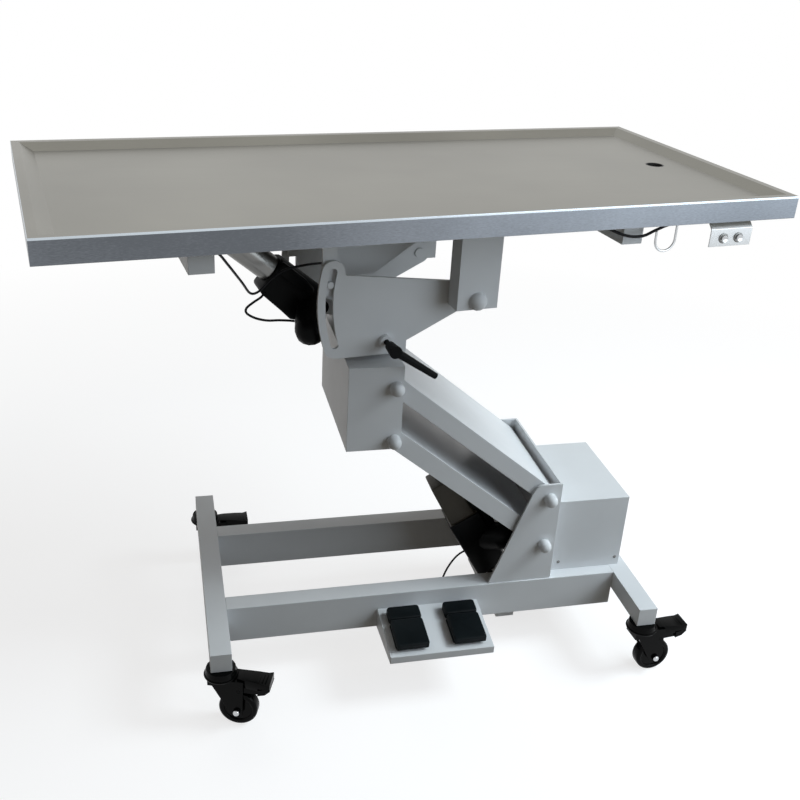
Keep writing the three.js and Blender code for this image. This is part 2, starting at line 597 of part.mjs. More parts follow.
function sectorShape() {
  const slotTop = roundPivot(sector.slotRadius, sector.slotUp);
  const slotBottom = roundPivot(sector.slotRadius, -sector.slotDown);
  const half = sector.slotWidth / 2;
  const band = half + sector.margin;
  const up = Math.PI - degrees(sector.slotUp);
  const down = Math.PI + degrees(sector.slotDown);
  const shape = new THREE.Shape();
  shape.moveTo(sector.right, yokeBottom);
  shape.lineTo(sector.right, yokeBottom + sector.step);
  shape.absarc(pivot.x, pivotZ, sector.noseRadius, -Math.PI / 3, Math.PI * 0.47, false);
  shape.lineTo(sector.topLeft, yokeBottom + sector.topLeftHeight);
  shape.absarc(slotTop[0], slotTop[1], band, -0.1, up, false);
  shape.absarc(pivot.x, pivotZ, sector.slotRadius + band, up, down, false);
  shape.quadraticCurveTo(sector.cornerPull, yokeBottom, sector.bottomLeft, yokeBottom);
  shape.closePath();
  const slot = new THREE.Path();
  slot.absarc(pivot.x, pivotZ, sector.slotRadius + half, up, down, false);
  slot.absarc(slotBottom[0], slotBottom[1], half, down, down + Math.PI, false);
  slot.absarc(pivot.x, pivotZ, sector.slotRadius - half, down, up, true);
  slot.absarc(slotTop[0], slotTop[1], half, up + Math.PI, up + 2 * Math.PI, false);
  shape.holes.push(slot);
  circleHole(shape, pivot.x, pivotZ, pivot.radius + running);
  return shape;
}

function addYoke(group) {
  const inner = yoke.half - yoke.plate;
  const front = plateXZ(sectorShape(), -yoke.half, -inner, 6);
  const boss = barY(lever.x, studZ, lever.bossRadius, -yoke.half - lever.bossHeight, -yoke.half + cut);
  const studHole = barY(lever.x, studZ, lever.studRadius + running, -yoke.half - lever.bossHeight - cut,
    -inner + cut, 16);
  put(group, 'yoke_plate_front', joined([front, boss], [studHole]), paint);
  put(group, 'yoke_plate_rear', plateXZ(sectorShape(), inner, yoke.half, 6), paint);
  const floor = block(-yoke.baseHalf, yoke.baseHalf, -inner + seam, inner - seam, yokeBottom,
    yokeBottom + yoke.baseThick);
  const hub = bar([0, 0, yokeBottom], [0, 0, yokeBottom + yoke.hubHeight], yoke.hubRadius, yoke.hubRadius,
    24);
  const eye = tiltDrive.eye - 1;
  const lug = new THREE.Shape();
  lug.absarc(tiltBase.x, tiltBase.z, eye, Math.PI * 0.45, Math.PI * 1.5, false);
  lug.lineTo(-yoke.hubRadius + 8, yokeBottom + yoke.hubHeight / 2);
  lug.lineTo(-yoke.hubRadius + 8, yokeBottom + yoke.hubHeight);
  lug.closePath();
  const pin = barY(tiltBase.x, tiltBase.z, tiltDrive.pin, -tiltDrive.lug - 12, tiltDrive.lug + 12);
  const bore = bar([0, 0, yokeBottom - cut], [0, 0, yokeBottom + yoke.hubHeight + cut],
    turntable.spindleRadius + running,
    turntable.spindleRadius + running, 24);
  put(group, 'yoke_base', joined([floor, hub, plateXZ(lug, -tiltDrive.lug, tiltDrive.lug), pin], [bore]),
    paint);
}

// Clamp lever: a stud through the front plate against the hub, with a tapered handle
function addLever(group) {
  const stud = barY(lever.x, studZ, lever.studRadius, -lever.hubTo + 4, -yoke.hubRadius - seam, 16);
  const hub = bar([lever.x, -lever.hubFrom, studZ], [lever.x, -lever.hubTo, studZ], lever.hubRadius - 3,
    lever.hubRadius,
    20);
  const droop = degrees(lever.droop);
  const y = -(lever.hubTo - lever.rootRadius);
  const tip = [lever.x + lever.length * Math.cos(droop), y, studZ - lever.length * Math.sin(droop)];
  const handle = bar([lever.x, y, studZ], tip, lever.rootRadius, lever.tipRadius, 16);
  put(group, 'clamp_lever', joined([stud, hub, handle]), blackPlastic);
}

// Tilt actuator: from the hub's lug up to the left cross tube
function addTiltActuator(group) {
  const holder = placeActuator(group, tiltBase.x, tiltBase.z, tiltAngle + Math.PI);
  const { pieces, cutters } = actuatorHousing(tiltDrive);
  put(holder, 'tilt_actuator', joined(pieces, cutters), blackPlastic);
  const from = tiltDrive.housing[1] + seam;
  const tube = bar([from, 0, 0], [tiltDrive.tubeEnd, 0, 0], tiltDrive.tubeRadius, tiltDrive.tubeRadius, 20);
  const bore = bar([from - cut, 0, 0], [tiltDrive.tubeEnd + cut, 0, 0], tiltDrive.rodRadius + running);
  put(holder, 'tilt_tube', joined([tube], [bore]), polished);
  const { shaft, neck } = rodGeometry(tiltDrive, tiltLength);
  const inner = tiltDrive.lug + 2;
  const outer = inner + 7;
  const ears = [-1, 1].flatMap((sign) => {
    const y0 = Math.min(sign * inner, sign * outer);
    const y1 = Math.max(sign * inner, sign * outer);
    return [barY(tiltLength, 0, tiltDrive.ear, y0, y1), block(neck - 8, tiltLength, y0, y1, -9, 9)];
  });
  const yokeBlock = block(neck - 12, neck - 4, -outer, outer, -9, 9);
  const hole = barY(tiltLength, 0, tiltDrive.pin + tiltDrive.play, -outer - cut, outer + cut);
  const bearing = block(neck - 4, tiltLength + tiltDrive.ear, -inner, inner, -tiltDrive.ear, tiltDrive.ear);
  put(holder, 'tilt_rod', joined([shaft, yokeBlock, ...ears], [hole, bearing]), polished);
}

// Table top: a tray folded from sheet, with a sloping rim, a drain hole and a return flange below
const panBottom = top.height - top.rim;
const panFloor = top.height - top.depth;
const frameTop = panFloor - top.sheet - seam;

function addTop(group) {
  const half = [top.length / 2, top.width / 2];
  const shrink = (by) => half.map((value) => value - by);
  const slab = frustum(half, half, panBottom, top.height);
  const rise = top.slope / top.depth;
  const basin = frustum(shrink(top.lip + top.slope), shrink(top.lip - rise * cut), panFloor,
    top.height + cut);
  const hollow = frustum(shrink(top.sheet), shrink(top.sheet), panBottom + top.sheet, panFloor - top.sheet);
  const mouth = frustum(shrink(top.flange), shrink(top.flange), panBottom - cut,
    panBottom + top.sheet + cut);
  const hole = bar([drain.x, 0, panBottom], [drain.x, 0, top.height + cut], drain.radius, drain.radius, 32);
  const tray0 = joined([slab], [basin, hollow, mouth, hole]);
  put(group, 'table_top', tray0.translate(top.offset, 0, 0), steel);
  const under = panFloor - top.sheet - seam;
  const outer = drain.radius - seam;
  const inner = outer - drain.wall;
  const profile = [[inner, under - drain.drop], [outer, under - drain.drop], [outer,
    under - drain.flangeThick],
    [drain.flange, under - drain.flangeThick], [drain.flange, under], [outer, under], [outer, panFloor],
    [inner, panFloor]];
  const spigot = lathe([...profile, profile[0]], 16).rotateX(Math.PI / 2);
  put(group, 'drain_spigot', spigot.translate(top.offset + drain.x, 0, 0), steel);
}

// Underframe: two long rails under the tray with guide lugs, and two cross tubes below them
function addUnderframe(group) {
  const left = top.offset - frame.railLength / 2;
  const [guideX, guideZ] = roundPivot(sector.slotRadius, guide.angle);
  for (const [side, sign] of [['front', -1], ['rear', 1]]) {
    const near = frame.railY - frame.railWidth / 2;
    const far = frame.railY + frame.railWidth / 2;
    const tube = openTube(left, left + frame.railLength, Math.min(sign * near, sign * far),
      Math.max(sign * near, sign * far), panBottom, frameTop, frame.wall, 'x');
    const lugFar = yoke.half - yoke.plate - guide.gap;
    const lugNear = lugFar - guide.thick;
    const span = (a, b) => [Math.min(sign * a, sign * b), Math.max(sign * a, sign * b)];
    const arm0 = block(guideX - guide.halfWidth, guideX + guide.halfWidth, ...span(lugNear, near + 1),
      panBottom + 4,
      panBottom + 4 + guide.block);
    const lug = block(guideX - guide.halfWidth, guideX + guide.halfWidth, ...span(lugNear, lugFar),
      guideZ - guide.below,
      panBottom + 4 + guide.block);
    const [y0, y1] = span(lugNear, yoke.half - 1);
    const stud = barY(guideX, guideZ, guide.studRadius, y0, y1, 16);
    put(group, `frame_rail_${side}`, joined([tube, arm0, lug, stud]), paint);
  }
  const half = base.tube / 2;
  const crossTop = panBottom - seam;
  for (const [side, x] of [['left', frame.crossLeft], ['right', frame.crossRight]]) {
    const mid = top.offset + x;
    const tube = closedTube(mid - half, mid + half, -frame.crossLength / 2, frame.crossLength / 2,
      crossTop - base.tube,
      crossTop, frame.wall);
    const pieces = side === 'left' ? [tube, ...tiltLug(mid + half)] : [tube];
    put(group, `cross_tube_${side}`, joined(pieces), paint);
  }
}

function tiltLug(face) {
  const width = tiltDrive.pin + 4;
  const plate = block(face - base.wall / 2, tiltEnd.x, -tiltDrive.lug, tiltDrive.lug, tiltEnd.z - width,
    tiltEnd.z + width);
  const round = barY(tiltEnd.x, tiltEnd.z, width, -tiltDrive.lug, tiltDrive.lug);
  const pin = barY(tiltEnd.x, tiltEnd.z, tiltDrive.pin, -tiltDrive.lug - 8, tiltDrive.lug + 8);
  return [plate, round, pin];
}

// Two posts hang from the rails. Each has a welded pin that turns in its sector plate.
function addPosts(group) {
  const near = frame.railY - post.depth / 2;
  const far = frame.railY + post.depth / 2;
  const bottom = pivotZ - post.below;
  for (const [side, sign] of [['front', -1], ['rear', 1]]) {
    const y0 = Math.min(sign * near, sign * far);
    const y1 = Math.max(sign * near, sign * far);
    const tube = openTube(pivot.x - post.width / 2, pivot.x + post.width / 2, y0, y1, bottom,
      panBottom - seam, post.wall,
      'z');
    put(group, `post_${side}`, joined([tube, stubPin(sign, far)]), paint);
  }
}

function stubPin(sign, far) {
  const inside = yoke.half - yoke.plate - pivot.reach;
  const profile = [[0, inside], [pivot.radius, inside], [pivot.radius, far], [pivot.capRadius, far]];
  for (const angle of [30, 60]) {
    profile.push([pivot.capRadius * Math.cos(degrees(angle)),
      far + pivot.capHeight * Math.sin(degrees(angle))]);
  }
  profile.push([0, far + pivot.capHeight]);
  const pin = lathe(profile, 16);
  if (sign < 0) pin.rotateZ(Math.PI);
  return pin.translate(pivot.x, 0, pivotZ);
}

function addStopBracket(group) {
  const bottom = pivotZ + stop.bottom;
  const shoulder = bottom + stop.shoulder;
  const shape = (inset) => outline([[stop.left + inset, bottom + inset], [stop.right - inset * 1.4,
    bottom + inset],
    [stop.rightTop - inset, shoulder], [stop.rightTop - inset, frameTop + (inset ? cut : 0)],
    [stop.leftTop + inset, frameTop + (inset ? cut : 0)], [stop.leftTop + inset, shoulder]]);
  const inner = stop.half - stop.plate;
  put(group, 'stop_bracket', joined([plateXZ(shape(0), -stop.half, stop.half)],
    [plateXZ(shape(stop.plate), -inner, inner)]),
    paint);
}

// Fittings under the front edge: a wire hook, and a button panel with two push buttons
function addHook(group) {
  const x = top.offset + hook.x;
  const topZ = panBottom - seam;
  const bottom = topZ - hook.drop;
  const r = hook.width / 2;
  const route = [[x, hook.y, topZ], [x, hook.y, topZ - 12], [x, hook.y, bottom + r], [x - r * 0.3, hook.y,
    bottom + r * 0.3],
    [x - r, hook.y, bottom], [x - r * 1.7, hook.y, bottom + r * 0.3], [x - hook.width, hook.y, bottom + r],
    [x - hook.width, hook.y, bottom + r + hook.lift]];
  put(group, 'hook', cableAlong(route, hook.wire, hook.steps), steel);
}

function addButtonPanel(group) {
  const x = top.offset + panel.x;
  const topZ = panBottom - seam;
  const face = -(top.width / 2 - 2);
  const backY = face + panel.lip;
  const bendZ = topZ - panel.knuckle;
  const bottom = topZ - panel.drop;
  const t = panel.thick;
  const profile = [[backY, topZ], [face + panel.knuckle, topZ], [face, bendZ], [face, bottom], [face + t,
    bottom],
    [face + t, bendZ - t * 0.4], [face + panel.knuckle + t * 0.4, topZ - t], [backY, topZ - t]];
  const plate = plateYZ(profile, x - panel.width / 2, x + panel.width / 2);
  const holes = [-1, 1].map((sign) => barY(x + (sign * button.spacing) / 2, bottom + button.up,
    button.stemRadius + running, face - cut, face + t + cut, 16));
  put(group, 'button_panel', joined([plate], holes), steel);
  for (const [name, sign] of [['button_up', -1], ['button_down', 1]]) {
    const bx = x + (sign * button.spacing) / 2;
    const cap = barY(bx, bottom + button.up, button.radius, face - button.travel - button.height,
      face - button.travel);
    const stem = barY(bx, bottom + button.up, button.stemRadius, face - button.travel - cut,
      face + button.stem);
    put(group, name, joined([cap, stem]), polished);
  }
}

// The pieces are drawn from the middle of the base, and the whole is then moved to its origin.
function build() {
  const table = new THREE.Group();
  table.position.x = -swivelX - top.offset * Math.cos(degrees(swivel));
  table.position.y = -top.offset * Math.sin(degrees(swivel));
  addBaseFrame(table);
  addCasters(table);
  addBracket(table);
  addCrossbar(table);
  addControlBox(table);
  addFootSwitches(table);
  addArms(table);
  addHead(table);
  addPin(table, 'lift_pin_lower', pins.x, pinLow, bracket.half);
  addPin(table, 'lift_pin_upper', pins.x, pinHigh, bracket.half);
  addPin(table, 'head_pin_lower', headPinX, pinLow + armRise, head.half);
  addPin(table, 'head_pin_upper', headPinX, pinHigh + armRise, head.half);
  addLiftActuator(table);
  put(table, 'foot_switch_cable', cableAlong(footCableRoute, cable.thin), rubber);
  const turned = new THREE.Group();
  turned.position.x = swivelX;
  turned.rotation.z = degrees(swivel);
  table.add(turned);
  addYoke(turned);
  addLever(turned);
  addTiltActuator(turned);
  addTop(turned);
  addUnderframe(turned);
  addPosts(turned);
  addStopBracket(turned);
  addHook(turned);
  addButtonPanel(turned);
  put(turned, 'tilt_cable', cableAlong(tiltCableRoute, cable.thin), rubber);
  put(turned, 'motor_cable', cableAlong(motorCableRoute, cable.thin, cable.shortSteps), rubber);
  put(turned, 'button_cable', cableAlong(buttonCableRoute, cable.radius), rubber);
  return table;
}

export default build();
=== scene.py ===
import json
import math

import bmesh
import bpy
from mathutils import Matrix, Vector


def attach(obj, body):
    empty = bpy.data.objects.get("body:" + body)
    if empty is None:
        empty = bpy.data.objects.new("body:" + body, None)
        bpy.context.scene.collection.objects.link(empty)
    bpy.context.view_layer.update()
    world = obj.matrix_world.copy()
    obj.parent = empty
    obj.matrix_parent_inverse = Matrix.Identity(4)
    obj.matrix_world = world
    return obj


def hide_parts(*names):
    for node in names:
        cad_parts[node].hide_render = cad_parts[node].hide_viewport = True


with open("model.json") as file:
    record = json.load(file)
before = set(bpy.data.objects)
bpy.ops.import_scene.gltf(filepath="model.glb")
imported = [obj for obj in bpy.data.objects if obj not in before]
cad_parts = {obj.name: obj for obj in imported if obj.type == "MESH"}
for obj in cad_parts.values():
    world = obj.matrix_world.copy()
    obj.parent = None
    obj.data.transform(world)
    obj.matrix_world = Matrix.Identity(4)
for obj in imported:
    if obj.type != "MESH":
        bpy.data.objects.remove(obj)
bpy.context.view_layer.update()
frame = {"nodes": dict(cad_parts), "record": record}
scene = bpy.context.scene
scene.view_settings.view_transform = "Standard"

# where the base and the turned top stand in the frame, in metres and degrees
place = {"swivelX": -0.130, "topOffset": 0.058, "swivel": 8, "yokeBottom": 0.6876}
turn = Matrix.Rotation(math.radians(place["swivel"]), 3, "Z")
shift = -(Vector((place["swivelX"], 0, 0)) + turn @ Vector((place["topOffset"], 0, 0)))


def onBase(x, y, z):
    return Vector((x, y, z)) + shift


def onTop(x, y, z):
    return turn @ Vector((x, y, z)) + Vector((place["swivelX"], 0, 0)) + shift


# camera first
view = {"place": (-0.50239, -1.76385, 1.42982), "yaw": 0.2528, "pitch": 0.4587, "roll": 0.0609,
        "focalPixels": 1010.89, "imagePixels": 800, "sensor": 36, "reach": 50}


def makeCamera():
    data = bpy.data.cameras.new("camera")
    data.sensor_width = view["sensor"]
    data.lens = view["focalPixels"] / view["imagePixels"] * view["sensor"]
    data.clip_end = view["reach"]
    camera = bpy.data.objects.new("camera", data)
    scene.collection.objects.link(camera)
    yaw, pitch, roll = view["yaw"], view["pitch"], view["roll"]
    ahead = Vector((math.sin(yaw) * math.cos(pitch), math.cos(yaw) * math.cos(pitch), -math.sin(pitch)))
    level = Vector((math.cos(yaw), -math.sin(yaw), 0))
    rise = level.cross(ahead)
    right = math.cos(roll) * level + math.sin(roll) * rise
    up = -math.sin(roll) * level + math.cos(roll) * rise
    pose = Matrix((right, up, -ahead)).transposed().to_4x4()
    pose.translation = onBase(*view["place"])
    camera.matrix_world = pose
    scene.camera = camera


makeCamera()
print("camera set")


# nodes that the floor and the finishes share
def coordinates(tree, scale=(1, 1, 1), spin=0.0, offset=(0, 0, 0)):
    where = tree.nodes.new("ShaderNodeTexCoord")
    mapping = tree.nodes.new("ShaderNodeMapping")
    mapping.inputs["Scale"].default_value = scale
    mapping.inputs["Rotation"].default_value = (0, 0, spin)
    mapping.inputs["Location"].default_value = offset
    tree.links.new(where.outputs["Object"], mapping.inputs["Vector"])
    return mapping.outputs["Vector"]


def noise(tree, vector, scale, detail=3.0, roughness=0.5):
    node = tree.nodes.new("ShaderNodeTexNoise")
    node.inputs["Scale"].default_value = scale
    node.inputs["Detail"].default_value = detail
    node.inputs["Roughness"].default_value = roughness
    tree.links.new(vector, node.inputs["Vector"])
    return node.outputs["Fac"]


def ramp(tree, factor, low, high, start=0.3, end=0.7):
    node = tree.nodes.new("ShaderNodeValToRGB")
    node.color_ramp.elements[0].position = start
    node.color_ramp.elements[1].position = end
    node.color_ramp.elements[0].color = (*low, 1)
    node.color_ramp.elements[1].color = (*high, 1)
    tree.links.new(factor, node.inputs["Fac"])
    return node.outputs["Color"]


def spread(tree, factor, low, high):
    node = tree.nodes.new("ShaderNodeMapRange")
    node.inputs["To Min"].default_value = low
    node.inputs["To Max"].default_value = high
    tree.links.new(factor, node.inputs["Value"])
    return node.outputs["Result"]


def bump(tree, shader, factor, strength, distance):
    node = tree.nodes.new("ShaderNodeBump")
    node.inputs["Strength"].default_value = strength
    node.inputs["Distance"].default_value = distance
    tree.links.new(factor, node.inputs["Height"])
    tree.links.new(node.outputs["Normal"], shader.inputs["Normal"])


def mixed(tree, factor, first, second):
    mix = tree.nodes.new("ShaderNodeMixShader")
    tree.links.new(factor, mix.inputs["Fac"])
    tree.links.new(first, mix.inputs[1])
    tree.links.new(second, mix.inputs[2])
    return mix.outputs[0]


def glow(tree, kind, colour, strength):
    node = tree.nodes.new(kind)
    node.inputs["Color"].default_value = (*colour, 1)
    node.inputs["Strength"].default_value = strength
    return node.outputs[0]


def matt(tree, colour):
    node = tree.nodes.new("ShaderNodeBsdfDiffuse")
    node.inputs["Color"].default_value = (*colour, 1)
    return node.outputs[0]


def seesBackground(tree):
    path = tree.nodes.new("ShaderNodeLightPath")
    seen = path.outputs["Is Camera Ray"]
    for name in ("Is Glossy Ray", "Is Transmission Ray"):
        either = tree.nodes.new("ShaderNodeMath")
        either.operation = "MAXIMUM"
        tree.links.new(seen, either.inputs[0])
        tree.links.new(path.outputs[name], either.inputs[1])
        seen = either.outputs[0]
    return seen


# soft studio light, with daylight from the right
studio = {"background": 1.0, "ambient": 0.085, "ambientTint": (1.0, 0.90, 0.76), "aim": (0, 0, 0.6)}
lamps = {"sky": {"at": (2.7, -0.4, 2.75), "size": 1.3, "watts": 100, "tint": (0.86, 0.96, 1.0),
                 "mirrored": False},
         "window": {"at": (1.35, -1.24, 1.3), "size": 1.5, "watts": 18, "tint": (0.82, 0.92, 1.0),
                    "mirrored": True},
         "back": {"at": (-0.6, 2.4, 2.6), "size": 2.0, "watts": 20, "tint": (1.0, 0.99, 0.96),
                  "mirrored": False}}


def makeWorld():
    world = bpy.data.worlds.new("studio")
    scene.world = world
    world.use_nodes = True
    tree = world.node_tree
    tree.nodes.clear()
    out = tree.nodes.new("ShaderNodeOutputWorld")
    light = glow(tree, "ShaderNodeBackground", studio["ambientTint"], studio["ambient"])
    seen = glow(tree, "ShaderNodeBackground", (1, 1, 1), studio["background"])
    tree.links.new(mixed(tree, seesBackground(tree), light, seen), out.inputs["Surface"])


# the floor is white to the eye, with the table's shadow, and grey to the light that bounces off it
floorLook = {"size": 14, "bounce": (0.185, 0.155, 0.12), "shade": (0.34, 0.34, 0.35), "glow": 0.74,
             "fade": (0.14, 0.58), "fadeScale": (0.33, 0.33, 0.33)}


def floorFinish():
    finish = bpy.data.materials.new("paleFloor")
    finish.use_nodes = True
    tree = finish.node_tree
    tree.nodes.clear()
    out = tree.nodes.new("ShaderNodeOutputMaterial")
    add = tree.nodes.new("ShaderNodeAddShader")
    tree.links.new(matt(tree, floorLook["shade"]), add.inputs[0])
    tree.links.new(glow(tree, "ShaderNodeEmission", (1, 1, 1), floorLook["glow"]), add.inputs[1])
    ball = tree.nodes.new("ShaderNodeTexGradient")
    ball.gradient_type = "SPHERICAL"
    tree.links.new(coordinates(tree, floorLook["fadeScale"]), ball.inputs["Vector"])
    edge = ramp(tree, ball.outputs["Fac"], (1, 1, 1), (0, 0, 0), *floorLook["fade"])
    plain = glow(tree, "ShaderNodeEmission", (1, 1, 1), studio["background"])
    shown = mixed(tree, edge, add.outputs[0], plain)
    whole = mixed(tree, seesBackground(tree), matt(tree, floorLook["bounce"]), shown)
    tree.links.new(whole, out.inputs["Surface"])
    return finish


def makeStudio():
    makeWorld()
    bpy.ops.mesh.primitive_plane_add(size=floorLook["size"], location=(0, 0, 0))
    floor = bpy.context.object
    floor.name = "floor"
    floor.data.materials.append(floorFinish())
    for name, lamp in lamps.items():
        data = bpy.data.lights.new(name, "AREA")
        data.size = lamp["size"]
        data.energy = lamp["watts"]
        data.color = lamp["tint"]
        lampObject = bpy.data.objects.new(name, data)
        lampObject.location = lamp["at"]
        lampObject.visible_glossy = lamp["mirrored"]
        lampObject.visible_camera = False
        aim = Vector(studio["aim"]) - Vector(lamp["at"])
        lampObject.rotation_euler = aim.to_track_quat("-Z", "Y").to_euler()
        scene.collection.objects.link(lampObject)


makeStudio()
print("studio lit")


# finishes: each has its own grain, colour drift and bump
def newFinish(name, look, metal):
    finish = bpy.data.materials.new(name)
    finish.use_nodes = True
    shader = finish.node_tree.nodes["Principled BSDF"]
    shader.inputs["Base Color"].default_value = (*look["colour"], 1)
    shader.inputs["Metallic"].default_value = metal
    shader.inputs["Roughness"].default_value = sum(look["rough"]) / 2
    return finish, finish.node_tree, shader


# the colour drifts with one pattern and the roughness with another
def drifting(tree, shader, look, tone, wear):
    low, high = [[min(1.0, value * by) for value in look["colour"]] for by in look["drift"]]
    tree.links.new(ramp(tree, tone, low, high), shader.inputs["Base Color"])
    tree.links.new(spread(tree, wear, *look["rough"]), shader.inputs["Roughness"])


coatLook = {"colour": (0.68, 0.695, 0.715), "drift": (0.93, 1.02), "cloud": 5, "rough": (0.34, 0.46),
            "wear": 30, "sheen": 0.2, "peel": 420, "peelStrength": 0.12, "peelDepth": 0.00025}


def powderCoat(name, look):
    finish, tree, shader = newFinish(name, look, 0.0)
    shader.inputs["Specular IOR Level"].default_value = look["sheen"]
    here = coordinates(tree)
    cloud = noise(tree, here, look["cloud"], detail=4)
    wear = noise(tree, here, look["wear"])
    drifting(tree, shader, look, cloud, wear)
    peel = noise(tree, here, look["peel"], detail=2)
    bump(tree, shader, peel, look["peelStrength"], look["peelDepth"])
    return finish


# every brushed steel starts from these values
brushLook = {"cloud": 2.0, "offset": (0, 0, 0), "streak": (-0.16, 0.16), "grainStrength": 0.25}
steelLook = {**brushLook, "colour": (0.252, 0.246, 0.216), "drift": (0.82, 1.08), "rough": (0.27, 0.40),
             "grain": (6, 900, 900), "grainDepth": 0.00004}
# the tray sides' steel is bluer than the floor's, and its deep, slow colour drift is set to darken the left
# end: both are painted reflection
rimReflectionLook = {**brushLook, "colour": (0.280, 0.305, 0.340), "drift": (0.42, 1.08), "rough": (0.24, 0.38),
           "grain": (5, 1100, 1100), "grainDepth": 0.00005, "cloud": 1.3, "offset": (0.36, 0, 0)}
# a dark steel for the tilt tube, darkened to stand in for the table's shade over it: painted shade; the
# button bezels and cover screws share it
pipeLook = {**brushLook, "colour": (0.16, 0.16, 0.155), "drift": (0.97, 1.08), "rough": (0.26, 0.32),
            "grain": (200, 200, 200), "grainDepth": 0.00001}
panelLook = {**brushLook, "colour": (0.46, 0.47, 0.475), "drift": (0.94, 1.08), "rough": (0.25, 0.36),
             "grain": (6, 900, 900), "grainDepth": 0.00004}
# a paler steel for the tray's outer top edge: a painted highlight
edgeHighlightLook = {**brushLook, "colour": (0.54, 0.60, 0.65), "drift": (0.94, 1.08), "rough": (0.2, 0.3),
            "grain": (6, 300, 300), "grainDepth": 0.00001}
# near-black steel for the drain spigot: painted shade inside the drain hole
drainShadeLook = {**brushLook, "colour": (0.05, 0.05, 0.05), "drift": (0.8, 1.08), "rough": (0.4, 0.5),
             "grain": (90, 90, 90), "grainDepth": 0.00002}


def brushedSteel(name, look):
    finish, tree, shader = newFinish(name, look, 1.0)
    along = coordinates(tree, look["grain"], math.radians(-place["swivel"]))
    streak = noise(tree, along, 1.0, detail=6, roughness=0.6)
    cloud = noise(tree, coordinates(tree, offset=look["offset"]), look["cloud"])
    blend = tree.nodes.new("ShaderNodeMath")
    blend.operation = "ADD"
    tree.links.new(cloud, blend.inputs[0])
    tree.links.new(spread(tree, streak, *look["streak"]), blend.inputs[1])
    drifting(tree, shader, look, blend.outputs[0], streak)
    bump(tree, shader, streak, look["grainStrength"], look["grainDepth"])
    return finish


brightLook = {"colour": (0.52, 0.53, 0.54), "drift": (0.97, 1.02), "rough": (0.18, 0.27), "scratch": 900,
              "scratchStrength": 0.04, "scratchDepth": 0.00002}


def brightMetal(name, look):
    finish, tree, shader = newFinish(name, look, 1.0)
    mark = noise(tree, coordinates(tree), look["scratch"], detail=5, roughness=0.6)
    drifting(tree, shader, look, mark, mark)
    bump(tree, shader, mark, look["scratchStrength"], look["scratchDepth"])
    return finish


# every plastic and rubber starts from these values
mouldLook = {"drift": (0.75, 1.4), "cloud": 14, "grainStrength": 0.2}
plasticLook = {**mouldLook, "colour": (0.0035, 0.004, 0.0042), "rough": (0.34, 0.48), "sheen": 0.05,
               "grain": 900, "grainDepth": 0.00015}
glossLook = {**mouldLook, "colour": (0.0012, 0.0014, 0.0014), "rough": (0.14, 0.24), "sheen": 0.07,
             "grain": 300, "grainDepth": 0.00005}
treadLook = {**mouldLook, "colour": (0.004, 0.006, 0.007), "rough": (0.40, 0.55), "sheen": 0.09,
             "grain": 700, "grainDepth": 0.0003}
tubeLook = {**mouldLook, "colour": (0.058, 0.052, 0.040), "rough": (0.36, 0.5), "sheen": 0.25,
            "grain": 600, "grainDepth": 0.0001}
sheathLook = {**mouldLook, "colour": (0.008, 0.008, 0.009), "rough": (0.38, 0.5), "sheen": 0.08,
              "grain": 500, "grainDepth": 0.0001}


def mouldedPlastic(name, look):
    finish, tree, shader = newFinish(name, look, 0.0)
    shader.inputs["Specular IOR Level"].default_value = look["sheen"]
    here = coordinates(tree)
    cloud = noise(tree, here, look["cloud"], detail=4)
    drifting(tree, shader, look, cloud, cloud)
    grain = noise(tree, here, look["grain"], detail=2)
    bump(tree, shader, grain, look["grainStrength"], look["grainDepth"])
    return finish


white = powderCoat("powderCoat", coatLook)
steel = brushedSteel("brushedSteel", steelLook)
rimReflectionSteel = brushedSteel("rimReflectionSteel", rimReflectionLook)
tubeSteel = brushedSteel("tubeSteel", pipeLook)
panelSteel = brushedSteel("panelSteel", panelLook)
edgeHighlightSteel = brushedSteel("edgeHighlightSteel", edgeHighlightLook)
drainShadeSteel = brushedSteel("drainShadeSteel", drainShadeLook)
bright = brightMetal("brightMetal", brightLook)
black = mouldedPlastic("blackPlastic", plasticLook)
gloss = mouldedPlastic("glossPlastic", glossLook)
tread = mouldedPlastic("treadRubber", treadLook)
sheath = mouldedPlastic("cableSheath", sheathLook)
tubeBlack = mouldedPlastic("tubeBlack", tubeLook)
print("materials made")

bodies = frame["record"]["behaviour"]["bodies"]
bodyOf = {node: body for body, members in bodies.items() for node in members}

# how forms are cleaned and rounded: a distance, angles in degrees, a weight and shares of a box's side
formRules = {"weld": 4e-6, "flat": 0.5, "bevelFrom": 32, "sharpFrom": 38, "flatWeight": 80,
             "cornerShare": 0.4, "edgeShare": 0.45}


def finishPiece(name, mesh, material, body, replaced=()):
    mesh.materials.clear()
    mesh.materials.append(material)
    piece = bpy.data.objects.new(name, mesh)
    scene.collection.objects.link(piece)
    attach(piece, body)
    if replaced:
        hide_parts(*replaced)
    return piece


def roundEdges(piece, width, segments, angle):
    edges = piece.modifiers.new("edges", "BEVEL")
    edges.width = width
    edges.segments = segments
    edges.limit_method = "ANGLE"
    edges.angle_limit = math.radians(angle)
    flats = piece.modifiers.new("flats", "WEIGHTED_NORMAL")
    flats.weight = formRules["flatWeight"]
    flats.keep_sharp = True


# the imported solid's own form with its edges broken and smooth rounds
def dress(node, material, width, segments=2, angle=formRules["bevelFrom"]):
    mesh = frame["nodes"][node].data.copy()
    bm = bmesh.new()
    bm.from_mesh(mesh)
    bmesh.ops.remove_doubles(bm, verts=bm.verts, dist=formRules["weld"])
    flat = math.radians(formRules["flat"])
    bmesh.ops.dissolve_limit(bm, angle_limit=flat, verts=bm.verts, edges=bm.edges)
    for face in bm.faces:
        face.smooth = True
    bm.to_mesh(mesh)
    bm.free()
    piece = finishPiece(node + "_finish", mesh, material, bodyOf[node], [node])
    roundEdges(piece, width, segments, angle)
    return piece


